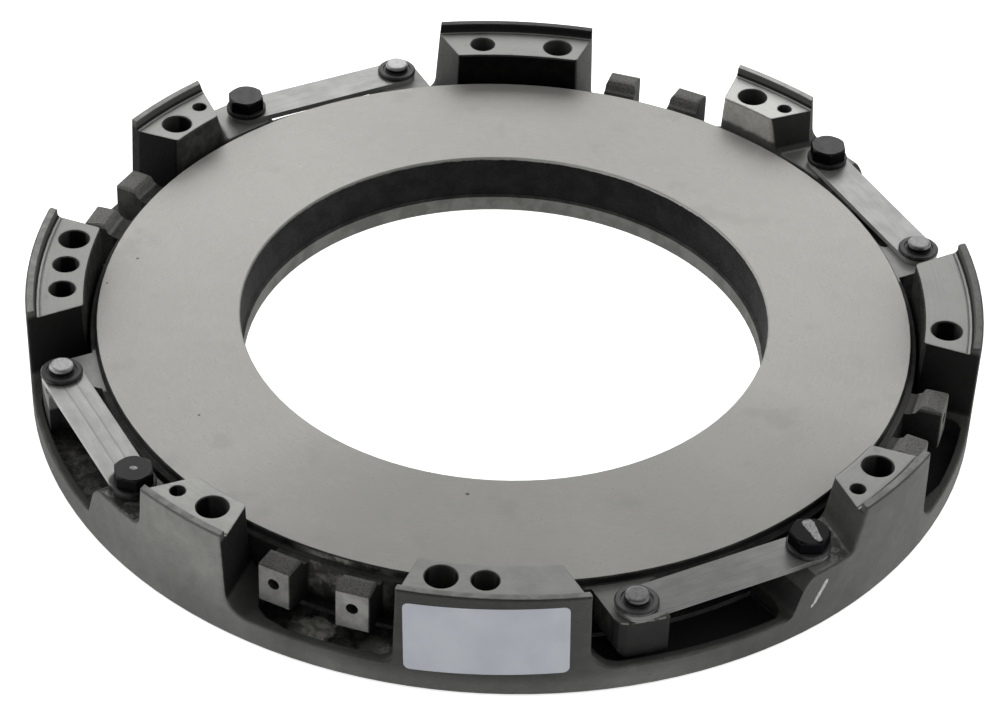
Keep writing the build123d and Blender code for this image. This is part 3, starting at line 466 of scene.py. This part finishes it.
def black_steel():
    m = Net("black_oxide_steel", Metallic=0.0)
    P = m.place()
    up = m.ramp(m.nz, 0.8, 0.97)
    cloud = m.noise(P, 0.35, 4.0, 0.6)
    fine = m.noise(P, 2.2, 3.0, 0.6)
    col = m.mix(m.ramp(cloud, 0.35, 0.65), (0.010, 0.010, 0.012), (0.022, 0.022, 0.025))
    # painted light and shade: tops lighter, sides near black, each head darkened by its place
    col = m.mix(m.mul(up, m.ramp(cloud, 0.3, 0.7, 0.5, 1.0)), col, (0.034, 0.036, 0.041))
    col = m.gain(col, ((136.55, 6.0, 1.0, 0.8), (46.55, 6.0, 1.0, 0.62), (316.55, 6.0, 1.0, 0.10), (226.55, 6.0, 1.0, 0.28)))
    col = m.mix(m.ramp(m.nz, 0.5, 0.2), col, (0.005, 0.005, 0.006))
    m.put(m.bsdf.inputs["Specular IOR Level"], m.mul(m.ramp(m.nz, 0.2, 0.8, 0.03, 0.28), m.ramp(m.near(316.55, 6.0, 1.0), 0.0, 1.0, 1.0, 0.4)))
    edge = m.mul(m.ramp(m.z, 45.2, 46.4), m.ramp(m.nz, 0.85, 0.5), m.ramp(fine, 0.45, 0.6))
    col = m.mix(m.mul(edge, 0.35), col, (0.12, 0.12, 0.125))
    nrm = m.bump(m.add(m.mul(fine, 0.6), m.mul(cloud, 0.4)), 0.15, 0.00015)
    return m.done(col, m.add(m.ramp(cloud, 0.3, 0.7, 0.30, 0.44), m.ramp(m.nz, 0.8, 0.2, 0.0, 0.3)), nrm)


def dark_steel():
    m = Net("dark_phosphate_steel", Specular_IOR_Level=0.5, Metallic=0.35)
    P = m.place()
    cloud = m.noise(P, 0.4, 4.0, 0.6)
    fine = m.noise(P, 2.4, 3.0, 0.6)
    up = m.ramp(m.nz, 0.8, 0.97)
    col = m.mix(m.ramp(cloud, 0.35, 0.65), (0.022, 0.022, 0.022), (0.055, 0.055, 0.055))
    # painted light and shade: tops lighter, each part darker or lighter by its place
    col = m.mix(m.mul(up, 0.6), col, (0.09, 0.09, 0.09))
    col = m.gain(col, ((226.55, 6.0, 1.0, 0.22), (46.55, 6.0, 1.0, 0.6), (136.55, 6.0, 1.0, 0.6), (293.1, 6.0, 1.0, 1.5)))
    nrm = m.bump(fine, 0.2, 0.00015)
    return m.done(col, m.ramp(cloud, 0.3, 0.7, 0.40, 0.56), nrm)


def rivet_steel():
    m = Net("rivet_bright_steel", Specular_IOR_Level=0.5, Metallic=0.85)
    P = m.place()
    top = m.ramp(m.z, 41.4, 42.2)
    cloud = m.noise(P, 0.35, 4.0, 0.6)
    fine = m.noise(P, 2.0, 3.0, 0.6)
    col = m.mix(m.ramp(cloud, 0.35, 0.65), (0.28, 0.28, 0.28), (0.42, 0.42, 0.42))
    # painted shade: rivets darker at 293.1 and 23.1 degrees
    col = m.gain(col, ((293.1, 7.0, 1.0, 0.48), (23.1, 7.0, 1.0, 0.66)))
    col = m.mix(m.ramp(m.z, 42.3, 41.3), col, (0.035, 0.035, 0.035))
    nrm = m.bump(m.add(m.mul(fine, 0.5), m.mul(cloud, 0.5)), 0.3, 0.0002)
    return m.done(col, m.ramp(cloud, 0.3, 0.7, 0.34, 0.46), nrm)


def label_film():
    m = Net("label_blank_film", Specular_IOR_Level=0.4, Metallic=0.0)
    P = m.place()
    cloud = m.noise(P, 0.05, 3.0, 0.5)
    fine = m.noise(P, 1.6, 2.0, 0.5)
    scuff = m.mul(m.ramp(m.noise(m.stretch(P, 0.3, 0.3, 0.05), 1.0, 4.0, 0.7), 0.62, 0.72), 0.25)
    col = m.mix(m.ramp(m.add(m.mul(cloud, 0.8), m.mul(fine, 0.2)), 0.35, 0.65), (0.437, 0.460, 0.507), (0.49, 0.512, 0.555))
    col = m.mix(scuff, col, (0.48, 0.49, 0.52))
    nrm = m.bump(m.add(m.mul(cloud, 0.6), m.mul(fine, 0.15)), 0.12, 0.0003)
    return m.done(col, m.ramp(fine, 0.3, 0.7, 0.42, 0.52), nrm)


def marker_paint():
    m = Net("white_marker_paint", Specular_IOR_Level=0.4, Metallic=0.0)
    P = m.place()
    mid = m.noise(P, 0.8, 4.0, 0.65)
    col = m.mix(m.ramp(mid, 0.35, 0.68), (0.30, 0.30, 0.30), (0.66, 0.66, 0.65))
    nrm = m.bump(mid, 0.4, 0.0002)
    return m.done(col, m.ramp(mid, 0.3, 0.7, 0.4, 0.6), nrm)


MATS = {
    "cast_ring": cast_ring(), "ground_plate": ground_plate(), "spring_steel": spring_steel(),
    "black_steel": black_steel(), "dark_steel": dark_steel(), "rivet_steel": rivet_steel(),
    "label_paper": label_film(),
}
PAINT = marker_paint()

for sub in frame["record"]["subparts"]:
    ob = NODES[sub["node"]]
    ob.data.materials.clear()
    ob.data.materials.append(MATS[sub["material_slot"]])


# ------------------------------------------------------------------ mesh helper
def make(name, verts, faces, mat, smooth=True, uv=None):
    """A mesh object from vertices in mm, with sharp edges kept by angle."""
    me = bpy.data.meshes.new(name)
    me.from_pydata([tuple(Vector(v) * MM) for v in verts], [], faces)
    me.validate()
    me.update()
    ob = bpy.data.objects.new(name, me)
    bpy.context.scene.collection.objects.link(ob)
    me.materials.append(mat)
    if uv is not None:
        lay = me.uv_layers.new(name="lay")
        for lp in me.loops:
            a, b = uv[lp.vertex_index]
            lay.data[lp.index].uv = (a * MM, b * MM)
    if smooth:
        for p in me.polygons:
            p.use_smooth = True
        me.set_sharp_from_angle(angle=math.radians(28))
    return ob


# ------------------------------------------------------------------ strap leaves
BOLT_R, BOLT_A = 221.2, 46.55
LEAF_W, BOLT_HOLE, RIVET_HOLE, EDGE = 19.7, 5.1, 4.8, 0.14


def leaf(k, place):
    """One spring leaf: round ends, two holes, broken edges; the third strap's top leaf has two shallow rolled grooves.
    """
    node = f"strap_{k + 1}_{place}_leaf"
    lo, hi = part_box(node)
    z0, z1 = lo.z / MM, hi.z / MM
    rlo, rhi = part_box(f"rivet_{k + 1}")
    B, R = pol(BOLT_R, BOLT_A + 90 * k), (rlo + rhi) / 2 / MM
    R.z = 0.0
    L = (R - B).length
    ex = (R - B) / L
    ey = Vector((-ex.y, ex.x, 0))
    w, half = LEAF_W / 2, 11.4
    ys = [-w, -8.6, -6.2, -3.9, -3.4, -2.9, -1.2, 0.6, 2.4, 2.9, 3.4, 5.2, 7.2, 8.8, w]
    verts, uvs, faces = [], [], []

    def vert(a, b, z):
        p = B + ex * a + ey * b
        verts.append((p.x, p.y, z))
        uvs.append((a, b))
        return len(verts) - 1

    def groove(a, b):
        if place != "top" or not 12.0 < a < L - 11.0:
            return 0.0
        return 0.03 if k == 2 and min(abs(b + 3.4), abs(b - 2.9)) < 0.1 else 0.0

    rows = 28
    # the straight middle, top and bottom
    xs = [half + (L - 2 * half) * i / rows for i in range(rows + 1)]
    top = [[None] * len(ys) for _ in xs]
    bot = [[None] * len(ys) for _ in xs]
    for i, a in enumerate(xs):
        for j, b in enumerate(ys):
            inset = EDGE if j == 0 else (-EDGE if j == len(ys) - 1 else 0)
            top[i][j] = vert(a, b + inset, z1 - groove(a, b))
            bot[i][j] = vert(a, b + inset, z0)
    for i in range(rows):
        for j in range(len(ys) - 1):
            faces.append((top[i][j], top[i][j + 1], top[i + 1][j + 1], top[i + 1][j])[::-1])
            faces.append((bot[i][j], bot[i + 1][j], bot[i + 1][j + 1], bot[i][j + 1])[::-1])
    side = {}
    for j in (0, len(ys) - 1):
        for i, a in enumerate(xs):
            side[(i, j)] = (vert(a, ys[j], z1 - EDGE), vert(a, ys[j], z0 + EDGE))
        for i in range(rows):
            (p1, q1), (p2, q2) = side[(i, j)], side[(i + 1, j)]
            quads = [(top[i][j], top[i + 1][j], p2, p1), (p1, p2, q2, q1), (q1, q2, bot[i + 1][j], bot[i][j])]
            faces.extend(q if j else q[::-1] for q in quads)
    # the two round ends, each a ring of quads about its hole
    for end, cx, sgn, hole in (("bolt", 0.0, 1, BOLT_HOLE), ("rivet", L, -1, RIVET_HOLE)):
        i_row = 0 if end == "bolt" else rows
        inner_angles = [math.atan2(b, half) for b in ys]          # towards the middle
        a0, a1 = inner_angles[-1], 2 * math.pi + inner_angles[0]
        n = 36
        outer_angles = [a0 + (a1 - a0) * t / n for t in range(1, n)]
        ring_pts = []
        for t, ang in enumerate(inner_angles):
            ring_pts.append(("mid", t, ang))
        for ang in outer_angles:
            ring_pts.append(("out", None, ang))
        levels = 3
        grid_t, grid_b, edge_t, edge_b = [], [], {}, {}
        for kind, t, ang in ring_pts:
            ca, sa = math.cos(ang), math.sin(ang)
            if kind == "mid":
                pt_t, pt_b = top[i_row][t], bot[i_row][t]
                R_out = half / ca
            else:
                R_out = w if ca <= 0 else w / abs(sa) if abs(sa) > 0.64 else w
                if ca > 0:
                    R_out = w / abs(sa)
                x, y = R_out * ca, R_out * sa
                f = (R_out - EDGE) / R_out
                if ca > 0:
                    xi, yi = x, y - math.copysign(EDGE, y)
                else:
                    xi, yi = x * f, y * f
                pt_t = vert(cx + sgn * xi, yi, z1)
                pt_b = vert(cx + sgn * xi, yi, z0)
                edge_t[ang] = vert(cx + sgn * x, y, z1 - EDGE)
                edge_b[ang] = vert(cx + sgn * x, y, z0 + EDGE)
            line_t, line_b = [pt_t], [pt_b]
            for lv in range(1, levels + 1):
                q = hole + (R_out - hole) * (1 - lv / levels)
                if lv == levels:
                    q = hole
                line_t.append(vert(cx + sgn * q * ca, q * sa, z1))
                line_b.append(vert(cx + sgn * q * ca, q * sa, z0))
            grid_t.append(line_t)
            grid_b.append(line_b)
        N = len(ring_pts)
        for t in range(N):
            u = (t + 1) % N
            for lv in range(levels):
                q = (grid_t[t][lv], grid_t[u][lv], grid_t[u][lv + 1], grid_t[t][lv + 1])
                faces.append(q if sgn > 0 else q[::-1])
                q = (grid_b[t][lv], grid_b[t][lv + 1], grid_b[u][lv + 1], grid_b[u][lv])
                faces.append(q if sgn > 0 else q[::-1])
            q = (grid_t[t][levels], grid_t[u][levels], grid_b[u][levels], grid_b[t][levels])
            faces.append(q if sgn > 0 else q[::-1])
            ka, kb = ring_pts[t], ring_pts[u]
            if ka[0] == "mid" and kb[0] == "mid":
                continue

            def e(item, idx):
                if item[0] == "mid":
                    j = item[1]
                    return side[(i_row, j)]
                return edge_t[item[2]], edge_b[item[2]]

            (pa, qa), (pb, qb) = e(ka, t), e(kb, u)
            quads = [(grid_t[t][0], pa, pb, grid_t[u][0]), (pa, qa, qb, pb), (qa, grid_b[t][0], grid_b[u][0], qb)]
            faces.extend(q if sgn > 0 else q[::-1] for q in quads)
    ob = make(f"spring_leaf_{k + 1}_{place}", verts, faces, MATS["spring_steel"], uv=uvs)
    bpy.context.view_layer.objects.active = ob
    fix_normals(ob)
    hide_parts(node)
    s, t = B + ex * 15.0, R - ex * 15.0
    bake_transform(ob)
    return ob


def fix_normals(ob):
    import bmesh
    bm = bmesh.new()
    bm.from_mesh(ob.data)
    bmesh.ops.recalc_face_normals(bm, faces=bm.faces)
    bm.to_mesh(ob.data)
    bm.free()
    ob.data.update()


for k in range(4):
    for place in ("top", "middle", "bottom"):
        leaf(k, place)


# ------------------------------------------------------------------ blank label
def rounded_rect(w, h, r, per=8):
    pts = []
    for cx, cy, a in ((w / 2 - r, h / 2 - r, 0), (-w / 2 + r, h / 2 - r, 90),
                      (-w / 2 + r, -h / 2 + r, 180), (w / 2 - r, -h / 2 + r, 270)):
        for i in range(per + 1):
            t = math.radians(a + 90 * i / per)
            pts.append((cx + r * math.cos(t), cy + r * math.sin(t)))
    return pts


def label():
    """Thin film wrapped on the front lug's wall."""
    lo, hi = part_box("blank_label")
    W, H, R, T = 74.6, 39.4, 3.0, 0.34
    A0, ZC, TILT, RW = 275.6, 32.75, math.radians(1.6), 235.5
    nu, nv = 60, 18
    verts, faces = [], []

    def at(u, v, t):
        # u, v in mm across the film; pull grid points in at the corners
        x = u * math.cos(TILT) - v * math.sin(TILT)
        z = u * math.sin(TILT) + v * math.cos(TILT)
        p = pol(RW + t, A0 + math.degrees(x / RW), ZC + z)
        verts.append(tuple(p))
        return len(verts) - 1

    def clampc(u, v, W, H):
        # move a point of the plain rectangle on to the rounded one
        ax, ay = abs(u), abs(v)
        cx, cy = W / 2 - R, H / 2 - R
        if ax > cx and ay > cy:
            dx, dy = ax - cx, ay - cy
            m = max(dx, dy)
            L = math.hypot(dx, dy)
            if L > 1e-9:
                s = m / L
                ax, ay = cx + dx * s, cy + dy * s
        return math.copysign(ax, u), math.copysign(ay, v)

    def coords(n, W):
        cx = W / 2 - R
        k = 4
        left = [-W / 2 + R * i / k for i in range(k)]
        mid = [-cx + 2 * cx * i / n for i in range(n + 1)]
        return left + mid + [-v for v in reversed(left)]

    us, vs = coords(nu, W), coords(nv, H)
    grid = []
    for u in us:
        col = []
        for v in vs:
            a, b = clampc(u, v, W - 0.1, H - 0.1) if (u in (us[0], us[-1]) or v in (vs[0], vs[-1])) else clampc(u, v, W, H)
            col.append(at(a, b, T))
        grid.append(col)
    for i in range(len(us) - 1):
        for j in range(len(vs) - 1):
            faces.append((grid[i][j], grid[i + 1][j], grid[i + 1][j + 1], grid[i][j + 1]))
    rim = [(i, 0) for i in range(len(us))] + [(len(us) - 1, j) for j in range(1, len(vs))] + \
          [(i, len(vs) - 1) for i in range(len(us) - 2, -1, -1)] + [(0, j) for j in range(len(vs) - 2, 0, -1)]
    loops = [[grid[i][j] for i, j in rim]]
    for t, grow in ((T - 0.05, 0.0), (0.02, 0.0)):
        loops.append([at(*clampc(us[i], vs[j], W, H), t) for i, j in rim])
    for a, b in zip(loops, loops[1:]):
        for i in range(len(rim)):
            j = (i + 1) % len(rim)
            faces.append((a[i], b[i], b[j], a[j]))
    back = [[None] * len(vs) for _ in us]
    for n, (i, j) in enumerate(rim):
        back[i][j] = loops[-1][n]
    for i in range(len(us)):
        for j in range(len(vs)):
            if back[i][j] is None:
                back[i][j] = at(*clampc(us[i], vs[j], W, H), 0.02)
    for i in range(len(us) - 1):
        for j in range(len(vs) - 1):
            faces.append((back[i][j], back[i][j + 1], back[i + 1][j + 1], back[i + 1][j]))
    ob = make("label_film", verts, faces, MATS["label_paper"])
    fix_normals(ob)
    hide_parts("blank_label")
    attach(ob, "ring")


label()


# ------------------------------------------------------------------ paint marks
def ribbon(name, pts, widths, lift, point_at, body, seed):
    """A thin daub of paint: a ribbon along pts with uneven edges, raised in the middle."""
    rnd = random.Random(seed)
    cross = 6
    verts, faces, grid = [], [], []
    n = len(pts)
    for i, (u, v) in enumerate(pts):
        a = pts[max(i - 1, 0)]
        b = pts[min(i + 1, n - 1)]
        d = math.hypot(b[0] - a[0], b[1] - a[1])
        nx, ny = -(b[1] - a[1]) / d, (b[0] - a[0]) / d
        w0 = widths[i] * (0.85 + 0.3 * rnd.random())
        w1 = widths[i] * (0.85 + 0.3 * rnd.random())
        row = []
        for j in range(cross + 1):
            t = j / cross * 2 - 1
            off = (w0 if t < 0 else w1) * t / 2
            row.append(((u + nx * off, v + ny * off), lift * (1 - t * t) ** 0.5 * (0.8 + 0.3 * rnd.random()) + 0.02))
        grid.append(row)
    ids = []
    for row in grid:
        ids.append([])
        for (u, v), h in row:
            verts.append(tuple(point_at(u, v, h)))
            ids[-1].append(len(verts) - 1)
    low = []
    for row in grid:
        low.append([])
        for (u, v), h in row:
            verts.append(tuple(point_at(u, v, -0.05)))
            low[-1].append(len(verts) - 1)
    for i in range(n - 1):
        for j in range(cross):
            faces.append((ids[i][j], ids[i + 1][j], ids[i + 1][j + 1], ids[i][j + 1]))
            faces.append((low[i][j], low[i][j + 1], low[i + 1][j + 1], low[i + 1][j]))
    for i in range(n - 1):
        for j in (0, cross):
            faces.append((ids[i][j], low[i][j], low[i + 1][j], ids[i + 1][j]))
    for j in range(cross):
        for i in (0, n - 1):
            faces.append((ids[i][j], ids[i][j + 1], low[i][j + 1], low[i][j]))
    ob = make(name, verts, faces, PAINT)
    fix_normals(ob)
    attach(ob, body)
    return ob


def on_wall(u, v, h):
    """u degrees, v height in mm on the ring's outer wall."""
    return pol(235.55 + h, u / 4.11, v)


# one stroke down the wall beside the narrow lug, u in mm along the wall
s0, s1 = (316.5 * 4.11, 28.0), (314.4 * 4.11, 14.8)
stroke = [(s0[0] + (s1[0] - s0[0]) * t + 0.35 * math.sin(3 * t), s0[1] + (s1[1] - s0[1]) * t)
          for t in [i / 14 for i in range(15)]]
ribbon("paint_stroke_wall", stroke, [1.3, 1.9, 2.3, 2.5, 2.4, 2.5, 2.3, 2.4, 2.2, 2.3, 2.0, 2.1, 1.8, 1.5, 0.8],
       0.12, on_wall, "ring", 5)

HEX_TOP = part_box("strap_bolt_1")[1].z / MM


def on_hex(k):
    c = pol(BOLT_R, BOLT_A + 90 * k)

    def f(u, v, h):
        return Vector((c.x + u, c.y + v, HEX_TOP + h))
    return f


dab = [(-1.9, 7.3), (-1.5, 6.3), (-0.9, 4.7), (-0.1, 3.0), (0.9, 1.2), (1.9, -0.7), (2.9, -2.6), (3.9, -4.3), (4.6, -5.6), (5.0, -6.5)]
ribbon("paint_dab_bolt_4", dab, [2.8, 5.2, 5.6, 4.9, 4.2, 3.7, 3.5, 3.4, 2.8, 1.2], 0.14, on_hex(3), "ring", 11)
dot = [(-1.8, 0.3), (-1.2, 0.1), (-0.4, 0.0), (0.5, 0.0), (1.3, 0.1), (1.9, 0.3)]
ribbon("paint_dot_bolt_3", dot, [0.7, 1.9, 2.5, 2.4, 1.8, 0.6], 0.12, on_hex(2), "ring", 17)

# ------------------------------------------------------------------ floor
fme = bpy.data.meshes.new("floor")
fme.from_pydata([(-9, -9, 0), (9, -9, 0), (9, 9, 0), (-9, 9, 0)], [], [(0, 1, 2, 3)])
floor = bpy.data.objects.new("floor", fme)
bpy.context.scene.collection.objects.link(floor)
floor.location.z = -0.0004
fm = Net("floor_paper", Roughness=0.9, Specular_IOR_Level=0.1, Base_Color=(0.82, 0.83, 0.82, 1.0))
fm.place()
open_floor = fm.m("MAXIMUM", fm.ramp(fm.r, 231.0, 236.0), fm.ramp(fm.r, 146.0, 141.0))
fm.bsdf.inputs["Emission Color"].default_value = (1, 1, 1, 1)
fm.put(fm.bsdf.inputs["Emission Strength"], fm.mul(open_floor, 0.95))
fme.materials.append(fm.mat)

# ------------------------------------------------------------------ light
world = bpy.data.worlds.new("studio")
bpy.context.scene.world = world
world.use_nodes = True
wt = world.node_tree
bg = wt.nodes["Background"]
bg.inputs[0].default_value = (1.0, 1.0, 1.0, 1.0)
wtc = wt.nodes.new("ShaderNodeTexCoord")
wsp = wt.nodes.new("ShaderNodeSeparateXYZ")
wt.links.new(wtc.outputs["Generated"], wsp.inputs[0])
wmr = wt.nodes.new("ShaderNodeMapRange")
wmr.interpolation_type = "SMOOTHSTEP"
wt.links.new(wsp.outputs[1], wmr.inputs[0])
for i, v in enumerate((-0.7, 0.6, 0.17, 0.32)):
    wmr.inputs[1 + i].default_value = v
wt.links.new(wmr.outputs[0], bg.inputs[1])


def area(name, loc, target, size, power, size_y=None):
    li = bpy.data.lights.new(name, "AREA")
    li.shape = "RECTANGLE"
    li.size, li.size_y = size, size_y or size
    li.energy = power
    ob = bpy.data.objects.new(name, li)
    bpy.context.scene.collection.objects.link(ob)
    ob.location = loc
    ob.rotation_mode = "QUATERNION"
    ob.rotation_quaternion = (Vector(target) - Vector(loc)).to_track_quat("-Z", "Y")
    return ob


area("soft_back", (-0.12, 1.05, 0.66), (0, 0.05, 0.03), 1.3, 5.6, 0.6)
area("soft_left", (-1.25, 0.15, 0.75), (0, 0, 0.03), 0.9, 4.2)
area("soft_right", (1.3, 0.25, 0.8), (0, 0, 0.03), 0.9, 2.6)

# ------------------------------------------------------------------ camera
cam_data = bpy.data.cameras.new("camera")
cam = bpy.data.objects.new("camera", cam_data)
bpy.context.scene.collection.objects.link(cam)
eye = Vector((138.4, -1285.2, 1027.4)) * MM
aim = Vector((3.24, -41.35, 38.67)) * MM
fwd = (aim - eye).normalized()
right = fwd.cross(Vector((0, 0, 1))).normalized()
upv = right.cross(fwd)
roll = math.radians(2.254)
r2 = right * math.cos(roll) + upv * math.sin(roll)
u2 = -right * math.sin(roll) + upv * math.cos(roll)
cam.matrix_world = Matrix(((r2.x, u2.x, -fwd.x, eye.x), (r2.y, u2.y, -fwd.y, eye.y),
                           (r2.z, u2.z, -fwd.z, eye.z), (0, 0, 0, 1)))
cam_data.sensor_width = 36.0
cam_data.lens = 117.56
cam_data.clip_start, cam_data.clip_end = 0.05, 50.0
cam_data.dof.use_dof = False
bpy.context.scene.camera = cam
bpy.context.scene.view_settings.view_transform = "Standard"
bpy.context.scene.view_settings.look = "None"
